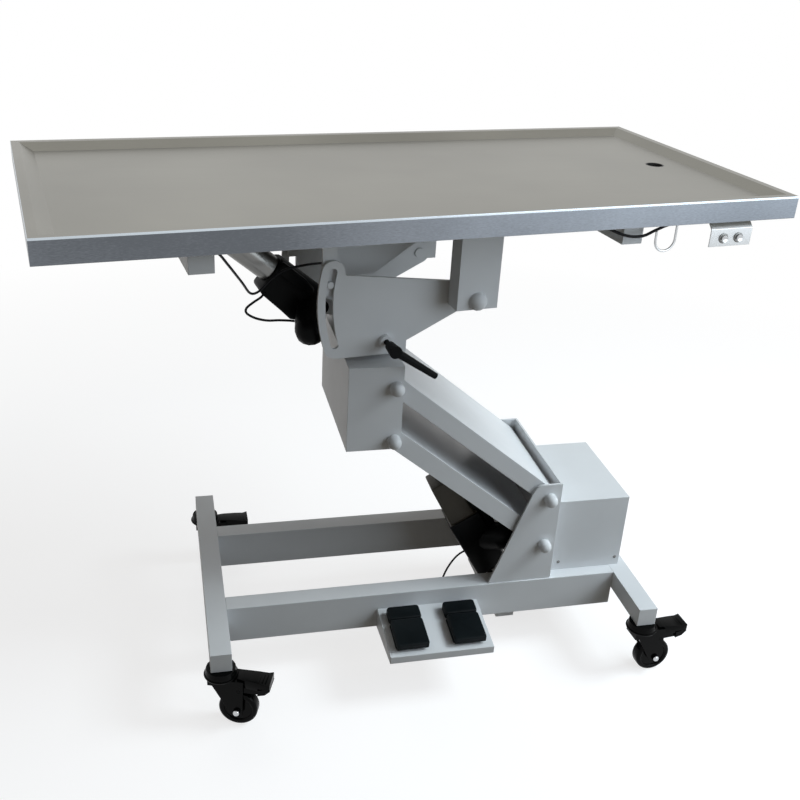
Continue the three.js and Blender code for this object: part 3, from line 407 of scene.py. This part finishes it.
# a form in its place, smooth but for its sharp edges
def closeForm(name, bm, pose):
    bmesh.ops.transform(bm, matrix=pose, verts=bm.verts)
    for face in bm.faces:
        face.smooth = True
    mesh = bpy.data.meshes.new(name)
    bm.to_mesh(mesh)
    bm.free()
    mesh.set_sharp_from_angle(angle=math.radians(formRules["sharpFrom"]))
    return mesh


# a turned form: profile of (radius, height) round an axis, a ring where it comes back to its start
def turned(name, profile, at, axis, material, body, replaced=(), sides=48):
    bm = bmesh.new()
    closed = profile[0] == profile[-1]
    rings = []
    for radius, height in profile[:-1] if closed else profile:
        count = sides if radius > 0 else 1
        ring = []
        for step in range(count):
            angle = step * math.tau / count
            ring.append(bm.verts.new((radius * math.cos(angle), radius * math.sin(angle), height)))
        rings.append(ring)
    if closed:
        rings.append(rings[0])
    for low, high in zip(rings, rings[1:]):
        for step in range(sides):
            after = (step + 1) % sides
            if len(low) == 1:
                bm.faces.new((low[0], high[after], high[step]))
            elif len(high) == 1:
                bm.faces.new((low[step], low[after], high[0]))
            else:
                bm.faces.new((low[step], low[after], high[after], high[step]))
    for end in (rings[0], rings[-1]):
        if len(end) > 1 and not closed:
            bm.faces.new(end)
    bmesh.ops.recalc_face_normals(bm, faces=bm.faces)
    stand = Vector((0, 0, 1)).rotation_difference(Vector(axis)).to_matrix().to_4x4()
    mesh = closeForm(name, bm, Matrix.Translation(at) @ stand)
    return finishPiece(name, mesh, material, body, replaced)


def domeProfile(radius, height, start, steps):
    rows = []
    for step in range(steps):
        angle = step / steps * math.pi / 2
        rows.append((radius * math.cos(angle), start + height * math.sin(angle)))
    return rows + [(0, start + height)]


# a low dome on a short straight rim
def capProfile(look):
    return [(look["radius"], 0)] + domeProfile(look["radius"], look["height"], look["rim"], look["steps"])


def soften(bm, edges, width, segments, clamp=False):
    bmesh.ops.bevel(bm, geom=edges, offset=width, segments=segments, profile=0.5, affect="EDGES",
                    clamp_overlap=clamp)


# boxes between two corners, in one mesh, with their upright corners and then their edges rounded
def softBoxes(name, boxes, pose, radius, segments=4, corner=0.0, crease=1.0):
    bm = bmesh.new()
    for low, high in boxes:
        low, high = Vector(low), Vector(high)
        size = high - low
        middle = Matrix.Translation((low + high) / 2)
        box = bmesh.new()
        bmesh.ops.create_cube(box, size=1, matrix=middle @ Matrix.Diagonal((*size, 1)))
        if corner:
            upright = []
            for edge in box.edges:
                if abs(edge.verts[0].co.z - edge.verts[1].co.z) > formRules["weld"]:
                    upright.append(edge)
            soften(box, upright, min(corner, min(size.x, size.y) * formRules["cornerShare"]), segments)
        sharp = [edge for edge in box.edges if edge.calc_face_angle(0) > crease]
        soften(box, sharp, min(radius, min(size) * formRules["edgeShare"]), segments)
        part = bpy.data.meshes.new("part")
        box.to_mesh(part)
        box.free()
        bm.from_mesh(part)
        bpy.data.meshes.remove(part)
    return closeForm(name, bm, pose)


# a form through cross-sections, each at a place with its low side, high side and half width
def lofted(name, stations, pose, radius, segments=3, crease=0.5):
    bm = bmesh.new()
    rings = []
    for x, low, high, half in stations:
        corners = ((-half, low), (half, low), (half, high), (-half, high))
        rings.append([bm.verts.new((x, y, z)) for y, z in corners])
    for first, second in zip(rings, rings[1:]):
        for k in range(4):
            after = (k + 1) % 4
            bm.faces.new((first[k], first[after], second[after], second[k]))
    bm.faces.new(rings[0])
    bm.faces.new(rings[-1])
    bmesh.ops.recalc_face_normals(bm, faces=bm.faces)
    sharp = [edge for edge in bm.edges if edge.calc_face_angle(0) > crease and edge.is_convex]
    soften(bm, sharp, radius, segments, clamp=True)
    return closeForm(name, bm, pose)


def smoothThrough(points, steps=4):
    spots = [Vector(p) for p in points]
    line = []
    for i in range(len(spots) - 1):
        before = spots[max(i - 1, 0)]
        after = spots[min(i + 2, len(spots) - 1)]
        a, b = spots[i], spots[i + 1]
        for k in range(steps):
            t = k / steps
            line.append(0.5 * (2 * a + (b - before) * t + (2 * before - 5 * a + 4 * b - after) * t ** 2
                               + (3 * a - before - 3 * b + after) * t ** 3))
    line.append(spots[-1])
    return line


def wire(name, line, radius, material, body, replaced):
    data = bpy.data.curves.new(name, "CURVE")
    data.dimensions = "3D"
    data.bevel_depth = radius
    data.bevel_resolution = 4
    data.use_fill_caps = True
    spline = data.splines.new("POLY")
    spline.points.add(len(line) - 1)
    for point, spot in zip(spline.points, line):
        point.co = (*spot, 1)
    spline.use_smooth = True
    data.materials.append(material)
    piece = bpy.data.objects.new(name, data)
    scene.collection.objects.link(piece)
    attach(piece, body)
    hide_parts(*replaced)
    return piece


# the four leads, at the places where their solids run
leads = {
    "tiltLead": {"node": "tilt_cable", "radius": 0.0022, "frame": onTop, "route": [
        (-0.3326, -0.236, 0.938), (-0.322, -0.236, 0.937), (-0.300, -0.205, 0.906), (-0.262, -0.130, 0.848),
        (-0.236, -0.078, 0.808), (-0.218, -0.070, 0.808), (-0.198, -0.068, 0.826), (-0.172, -0.067, 0.842),
        (-0.136, -0.066, 0.848), (-0.108, -0.056, 0.846), (-0.092, -0.042, 0.841), (-0.082, -0.0345, 0.8446),
        (-0.0736, -0.034, 0.8499)]},
    "motorLead": {"node": "motor_cable", "radius": 0.0022, "frame": onTop, "route": [
        (-0.1904, -0.019, 0.7966), (-0.194, -0.0235, 0.792), (-0.206, -0.036, 0.784),
        (-0.224, -0.048, 0.779), (-0.238, -0.055, 0.772), (-0.238, -0.057, 0.763), (-0.222, -0.056, 0.752),
        (-0.200, -0.052, 0.744), (-0.178, -0.047, 0.7405), (-0.1587, -0.0493, 0.739),
        (-0.149, -0.0519, 0.738)]},
    "buttonLead": {"node": "button_cable", "radius": 0.0026, "frame": onTop, "route": [
        (0.606, -0.2952, 0.930), (0.606, -0.284, 0.931), (0.588, -0.270, 0.944), (0.530, -0.262, 0.950),
        (0.470, -0.268, 0.949), (0.430, -0.280, 0.944), (0.404, -0.281, 0.935), (0.372, -0.281, 0.937),
        (0.340, -0.272, 0.948), (0.318, -0.260, 0.955), (0.302, -0.252, 0.964), (0.298, -0.250, 0.974),
        (0.298, -0.250, 0.9818)]},
    "footSwitchLead": {"node": "foot_switch_cable", "radius": 0.0022, "frame": onBase, "route": [
        (0.184, 0.062, 0.0733), (0.184, 0.062, 0.084), (0.172, 0.062, 0.099), (0.150, 0.062, 0.104),
        (0.126, 0.060, 0.092), (0.104, 0.055, 0.064), (0.086, 0.038, 0.038), (0.068, 0.0, 0.028),
        (0.046, -0.060, 0.030), (0.028, -0.115, 0.044), (0.018, -0.148, 0.068), (0.012, -0.168, 0.098),
        (0.010, -0.172, 0.1236)]},
}


def makeLeads():
    for name, lead in leads.items():
        line = smoothThrough([lead["frame"](*p) for p in lead["route"]])
        piece = wire(name, line, lead["radius"], sheath, bodyOf[lead["node"]], [lead["node"]])


makeLeads()
print("leads run")

# painted steel keeps the solids' forms, with rounded edges
paintEdges = {"foot_left": 0.003, "foot_right": 0.003, "rail_front": 0.003, "rail_rear": 0.003,
              "lift_bracket": 0.0012, "actuator_crossbar": 0.001, "control_box_cover": 0.0007,
              "pedal_tray": 0.001, "lower_arm": 0.0016, "upper_arm": 0.0016, "head_box": 0.0018,
              "yoke_plate_front": 0.001, "yoke_plate_rear": 0.001, "yoke_base": 0.001,
              "frame_rail_front": 0.001, "frame_rail_rear": 0.001, "cross_tube_left": 0.001,
              "cross_tube_right": 0.001, "post_front": 0.0012, "post_rear": 0.0012, "stop_bracket": 0.001}


def makePaintedSteel():
    for node, width in paintEdges.items():
        dress(node, white, width)


makePaintedSteel()
print("painted steel dressed")

# domed pins of the arms, at the bracket and at the head
pinLook = {"radius": 0.008, "capRadius": 0.013, "straight": 0.011, "half": 0.1453, "lip": 0.0008, "steps": 8,
           "liftX": 0.2405, "headX": -0.092, "low": 0.2525, "spacing": 0.110, "rise": 0.2675}


def domedPin(node, at):
    rim, half, lip = pinLook["capRadius"], pinLook["half"], pinLook["lip"]
    cap = [(pinLook["radius"], half), (rim - lip, half), (rim, half + lip)]
    cap += domeProfile(rim, rim, half + pinLook["straight"], pinLook["steps"])
    profile = [(radius, -height) for radius, height in reversed(cap)] + cap
    turned(node + "_finish", profile, at, (0, 1, 0), white, bodyOf[node], [node])


def makePins():
    for end, x, rise in (("lift", pinLook["liftX"], 0), ("head", pinLook["headX"], pinLook["rise"])):
        for level, spacing in (("lower", 0), ("upper", pinLook["spacing"])):
            domedPin("%s_pin_%s" % (end, level), onBase(x, 0, pinLook["low"] + spacing + rise))


# domed caps of the tilt pins, which are welded to the posts
tiltCap = {"x": 0.158, "above": 0.105, "post": 0.165, "radius": 0.0172, "height": 0.0152, "rim": 0.0004,
           "steps": 10}


def makeTiltCaps():
    for name, sign in (("front", -1), ("rear", 1)):
        at = onTop(tiltCap["x"], sign * tiltCap["post"], place["yokeBottom"] + tiltCap["above"])
        out = turn @ Vector((0, sign, 0))
        turned("tilt_cap_" + name, capProfile(tiltCap), at, out, white, "table")


makePins()
makeTiltCaps()
print("pins capped")

# stainless fittings of the top that keep their solids' forms; the drain spigot's steel is near-black,
# painted shade inside the drain hole
topFinishes = {"button_panel": (0.0008, panelSteel), "drain_spigot": (0.0005, drainShadeSteel),
               "swivel_spindle": (0.001, steel)}


def makeTopFittings():
    for node, (width, finish) in topFinishes.items():
        dress(node, finish, width)


# the tray's upright sides are brushed along their length, in a bluer steel than its floor: a painted
# reflection; its outer top edge is a paler steel: a painted highlight
trayLook = {"half": (0.650, 0.300), "edge": 0.0042, "edgeTop": 0.9925, "round": 0.003, "bevelFrom": 14,
            "wall": 0.3, "level": 0.99, "edgeLevel": 0.98}


def dressTray():
    tray = dress("table_top", steel, trayLook["round"], segments=3, angle=trayLook["bevelFrom"])
    bm = bmesh.new()
    bm.from_mesh(tray.data)
    walls = [face for face in bm.faces if abs(face.normal.z) < trayLook["wall"]]
    cut = {part for face in walls for part in (face, *face.edges, *face.verts)}
    bmesh.ops.bisect_plane(bm, geom=list(cut), plane_co=(0, 0, trayLook["edgeTop"]), plane_no=(0, 0, 1))
    bm.to_mesh(tray.data)
    bm.free()
    for face in tray.data.polygons:
        face.use_smooth = abs(face.normal.z) < trayLook["level"]
    ready = tray.evaluated_get(bpy.context.evaluated_depsgraph_get())
    mesh = bpy.data.meshes.new_from_object(ready)
    tray.modifiers.clear()
    tray.data = mesh
    mesh.materials.append(rimReflectionSteel)
    mesh.materials.append(edgeHighlightSteel)
    toTop = turn.transposed()
    middle = onTop(place["topOffset"], 0, 0)
    for face in mesh.polygons:
        spot = toTop @ (face.center - middle)
        # the outer top edge takes the paler steel, a painted highlight
        outside = any(abs(value) > half - trayLook["edge"] for value, half in zip(spot, trayLook["half"]))
        if outside and face.center.z > trayLook["edgeTop"] and face.normal.z < trayLook["edgeLevel"]:
            face.material_index = 2
        # the upright sides take the bluer steel, a painted reflection
        elif abs(face.normal.z) < trayLook["wall"]:
            face.material_index = 1


hookLook = {"x": 0.466, "y": -0.288, "top": 0.9557, "neck": 0.012, "drop": 0.048, "width": 0.040,
            "lift": 0.016, "radius": 0.0022, "steps": 12}


def makeHook():
    drop, half, steps = hookLook["drop"], hookLook["width"] / 2, hookLook["steps"]
    x, y, top = hookLook["x"], hookLook["y"], hookLook["top"]
    bend = top - drop + half
    line = [onTop(x, y, top), onTop(x, y, top - hookLook["neck"]), onTop(x, y, bend)]
    for step in range(1, steps + 1):
        angle = math.pi * step / steps
        line.append(onTop(x - half + half * math.cos(angle), y, bend - half * math.sin(angle)))
    line.append(onTop(x - 2 * half, y, bend + hookLook["lift"]))
    wire("hook_finish", line, hookLook["radius"], bright, "table", ["hook"])


# push buttons with a dished cap, each in a ring on the panel
buttonLook = {"x": (0.561, 0.593), "z": 0.9267, "face": -0.298, "stem": 0.005, "stemBack": 0.009,
              "cap": 0.0065, "capFrom": 0.0025, "capTop": 0.0065, "soft": 0.001,
              "dish": ((0.0039, 0.0006), (0, 0.00096))}
bezelLook = {"inner": 0.0069, "outer": 0.0092, "crown": 0.0084, "foot": 0.0001, "wall": 0.0012,
             "height": 0.0018}


def buttonProfile():
    stem, back, soft = buttonLook["stem"], -buttonLook["stemBack"], buttonLook["soft"]
    cap, low, top = buttonLook["cap"], buttonLook["capFrom"], buttonLook["capTop"]
    side = [(0, back), (stem, back), (stem, low), (cap - soft, low), (cap, low + soft), (cap, top - soft),
            (cap - soft, top)]
    return side + [(radius, top - depth) for radius, depth in buttonLook["dish"]]


def bezelProfile():
    inner, outer, foot, height = (bezelLook[key] for key in ("inner", "outer", "foot", "height"))
    return [(inner, foot), (outer, foot), (outer, bezelLook["wall"]), (bezelLook["crown"], height),
            (inner, height), (inner, foot)]


def makeButtons():
    out = turn @ Vector((0, -1, 0))
    for node, x in zip(("button_up", "button_down"), buttonLook["x"]):
        at = onTop(x, buttonLook["face"], buttonLook["z"])
        turned(node + "_finish", buttonProfile(), at, out, bright, node, [node])
        turned(node + "_bezel", bezelProfile(), at, out, tubeSteel, "table")


makeTopFittings()
dressTray()
makeHook()
makeButtons()
print("top finished")

# casters, each with its heading in degrees
casterPlaces = {"front_left": (-0.430, -0.265, -20), "front_right": (0.430, -0.265, 4),
                "rear_left": (-0.430, 0.265, 0), "rear_right": (0.430, 0.265, 155)}
casterEdges = {"caster_fork_": 0.0018, "caster_brake_": 0.0016}
wheelLook = {"trail": 0.034, "radius": 0.0375, "width": 0.026, "tyreRound": 0.006, "tyreSteps": 5,
             "bore": 0.0046, "hub": 0.011, "hubRise": 0.0016, "hubSoft": 0.001, "dish": 0.0035,
             "band": (0.011, 0.0095, 0.0085), "bandSoft": 0.0006}


def tyreProfile():
    r, half, fillet = wheelLook["radius"], wheelLook["width"] / 2, wheelLook["tyreRound"]
    hub, soft, face = wheelLook["hub"], wheelLook["hubSoft"], half + wheelLook["hubRise"]
    dish, steps = half - wheelLook["dish"], wheelLook["tyreSteps"]
    inner, slope, outer = (r - width for width in wheelLook["band"])
    side = [(wheelLook["bore"], face), (hub - soft, face), (hub, face - soft), (hub + soft, dish),
            (inner, dish), (slope, half - wheelLook["bandSoft"]), (outer, half), (r - fillet, half)]
    for step in range(1, steps + 1):
        angle = math.pi / 2 * step / steps
        side.append((r - fillet + fillet * math.sin(angle), half - fillet + fillet * math.cos(angle)))
    return side + [(radius, -height) for radius, height in reversed(side)] + [side[0]]


# rings of the swivel head, and the domed ends of the axle bolt
headLook = {"race": ((0.0290, 0.1085), (0.0318, 0.1092), (0.0324, 0.1108), (0.0318, 0.1124),
                     (0.0290, 0.1131)),
            "plate": ((0.0255, 0.1172), (0.0284, 0.1176), (0.0290, 0.1186), (0.0284, 0.1196),
                      (0.0255, 0.1200))}
boltLook = {"out": 0.0231, "radius": 0.0062, "height": 0.0046, "rim": 0.0004, "steps": 6, "sides": 24}


def casterTrim(name, at, axle, side):
    body = "caster_" + name
    for part, profile in headLook.items():
        ring = [*profile, profile[0]]
        turned("caster_%s_%s" % (part, name), ring, at, (0, 0, 1), gloss, body)
    for sign in (-1, 1):
        start = axle + side * (sign * boltLook["out"])
        turned("caster_bolt_%s_%d" % (name, sign + 1), capProfile(boltLook), start, side * sign, bright,
               body, sides=boltLook["sides"])


# the brake's pad swells towards its end and has three ridges across
padLook = {"stations": ((0.0335, 0.1095, 0.1128, 0.0132), (0.0428, 0.1095, 0.1130, 0.0140),
                        (0.0438, 0.0935, 0.1130, 0.0142), (0.0700, 0.0925, 0.1112, 0.0165),
                        (0.0880, 0.0935, 0.1085, 0.0188), (0.0975, 0.0965, 0.1115, 0.0186)),
           "round": 0.0022, "ridges": (0.076, 0.082, 0.088), "ridge": (0.0022, 0.026, 0.0018),
           "ridgeRound": 0.0006, "top": 0.1098}


def brakePad(name, spin, at):
    pose = Matrix.Translation(at) @ spin.to_4x4()
    pad = lofted("caster_pad_" + name, padLook["stations"], pose, padLook["round"])
    half = Vector(padLook["ridge"]) / 2
    bars = []
    for x in padLook["ridges"]:
        middle = Vector((x, 0, padLook["top"]))
        bars.append((middle - half, middle + half))
    ridges = softBoxes("caster_ridges_" + name, bars, pose, padLook["ridgeRound"], segments=2)
    for mesh in (pad, ridges):
        finishPiece(mesh.name, mesh, gloss, "brake_" + name)


def makeCasters():
    for name, (x, y, heading) in casterPlaces.items():
        spin = Matrix.Rotation(math.radians(heading), 3, "Z")
        at = onBase(x, y, 0)
        axle = onBase(x, y, wheelLook["radius"]) + spin @ Vector((wheelLook["trail"], 0, 0))
        side = spin @ Vector((0, 1, 0))
        wheel = "caster_wheel_" + name
        turned(wheel + "_finish", tyreProfile(), axle, side, gloss, "wheel_" + name, [wheel])
        for part, width in casterEdges.items():
            dress(part + name, gloss, width, segments=3)
        brakePad(name, spin, at)
        casterTrim(name, at, axle, side)


makeCasters()
print("casters built")


# along an actuator from its pivot, with its upper side up
def axisPose(start, end, across):
    along = (end - start).normalized()
    pose = Matrix((along, across, along.cross(across))).transposed().to_4x4()
    pose.translation = start
    return pose


# the lift actuator's gearbox, motor and outer tube stand round its solid, the tube in a browner black
liftLook = {"pivot": (0.190, 0, 0.103), "end": (-0.011116, 0, 0.444660), "edge": 0.0025, "round": 0.0036,
            "tubeFrom": 0.1763,
            "body": ((0.016, -0.030, 0.030, 0.034), (0.030, -0.036, 0.036, 0.040),
                     (0.176, -0.035, 0.036, 0.040), (0.1765, -0.031, 0.027, 0.033),
                     (0.2785, -0.027, 0.022, 0.030)),
            "motor": ((0.050, 0.028, 0.054, 0.028), (0.150, 0.028, 0.054, 0.028),
                      (0.205, 0.018, 0.040, 0.024))}


def dressLift():
    dress("lift_actuator", black, liftLook["edge"], segments=3)
    pose = axisPose(onBase(*liftLook["pivot"]), onBase(*liftLook["end"]), Vector((0, -1, 0)))
    body = lofted("lift_body", liftLook["body"], pose, liftLook["round"])
    motor = lofted("lift_motor", liftLook["motor"], pose, liftLook["round"])
    for mesh in (body, motor):
        finishPiece(mesh.name, mesh, black, "lift_actuator")
    body.materials.append(tubeBlack)
    toAxis = pose.inverted()
    for face in body.polygons:
        if (toAxis @ face.center).x > liftLook["tubeFrom"]:
            face.material_index = 1


# the tilt actuator's gearbox stands round its solid
tiltLook = {"pivot": (-0.088, 0, 0.7446), "end": (-0.305, 0, 0.9246), "edge": 0.002, "round": 0.005,
            "gearbox": ((0.028, -0.046, 0.002, 0.024), (0.040, -0.050, 0.022, 0.028),
                        (0.064, -0.047, 0.026, 0.030), (0.116, -0.043, 0.027, 0.030),
                        (0.1222, -0.038, 0.024, 0.027))}


def dressTilt():
    dress("tilt_actuator", black, tiltLook["edge"], segments=3)
    pose = axisPose(onTop(*tiltLook["pivot"]), onTop(*tiltLook["end"]), turn @ Vector((0, -1, 0)))
    gearbox = lofted("tilt_gearbox", tiltLook["gearbox"], pose, tiltLook["round"])
    finishPiece(gearbox.name, gearbox, black, "tilt_actuator")


# lever, control unit and inlet, and the actuators' bare metal
plasticEdges = {"clamp_lever": 0.0012, "control_unit": 0.001, "mains_inlet": 0.0008}
# the tilt tube's dark steel is painted shade from the table above
metalFinishes = {"lift_rod": (0.0008, bright), "tilt_tube": (0.0015, tubeSteel),
                 "tilt_rod": (0.0008, bright)}


def makeControls():
    for node, width in plasticEdges.items():
        dress(node, black, width, segments=3)


def makeRods():
    for node, (width, finish) in metalFinishes.items():
        dress(node, finish, width)


# foot switches: a sloping treadle with an apron, over a housing with a raised back
pedalLook = {"x": 0.0585, "y": -0.1483, "z": 0.1303, "fall": 0.018, "run": 0.130, "round": 0.0042,
             "corner": 0.0065,
             "back": ((-0.0335, -0.0490, 0.0), (0.0335, -0.0150, 0.0190)),
             "floor": ((-0.0335, -0.1148, 0.0), (0.0335, -0.0480, 0.0050)),
             "tread": ((-0.0335, -0.1210, 0.0090), (0.0335, -0.0500, 0.0190)),
             "apron": ((-0.0320, -0.1208, 0.0045), (0.0320, -0.1158, 0.0160))}


def pedalForm(name, boxes, pose):
    forms = [pedalLook[box] for box in boxes]
    return softBoxes(name, forms, pose, pedalLook["round"], corner=pedalLook["corner"])


def makePedals():
    slope = Matrix.Rotation(math.atan2(pedalLook["fall"], pedalLook["run"]), 4, "X")
    for side, sign in (("left", -1), ("right", 1)):
        pose = Matrix.Translation(onBase(sign * pedalLook["x"], pedalLook["y"], pedalLook["z"])) @ slope
        node = "pedal_housing_" + side
        housing = pedalForm(node + "_finish", ("back", "floor"), pose)
        finishPiece(housing.name, housing, tread, "base", [node])
        node = "treadle_" + side
        treadle = pedalForm(node + "_finish", ("tread", "apron"), pose)
        finishPiece(treadle.name, treadle, tread, node, [node])


screwLook = {"x": (0.2915, 0.4213), "z": 0.1845, "face": -0.120, "radius": 0.0036, "height": 0.0018,
             "rim": 0.0003, "steps": 5, "sides": 24}


def makeScrews():
    for step, x in enumerate(screwLook["x"]):
        at = onBase(x, screwLook["face"], screwLook["z"])
        turned("cover_screw_%d" % step, capProfile(screwLook), at, (0, -1, 0), tubeSteel, "base",
               sides=screwLook["sides"])


dressLift()
dressTilt()
makeControls()
makePedals()
makeRods()
makeScrews()
print("drives and switches dressed")
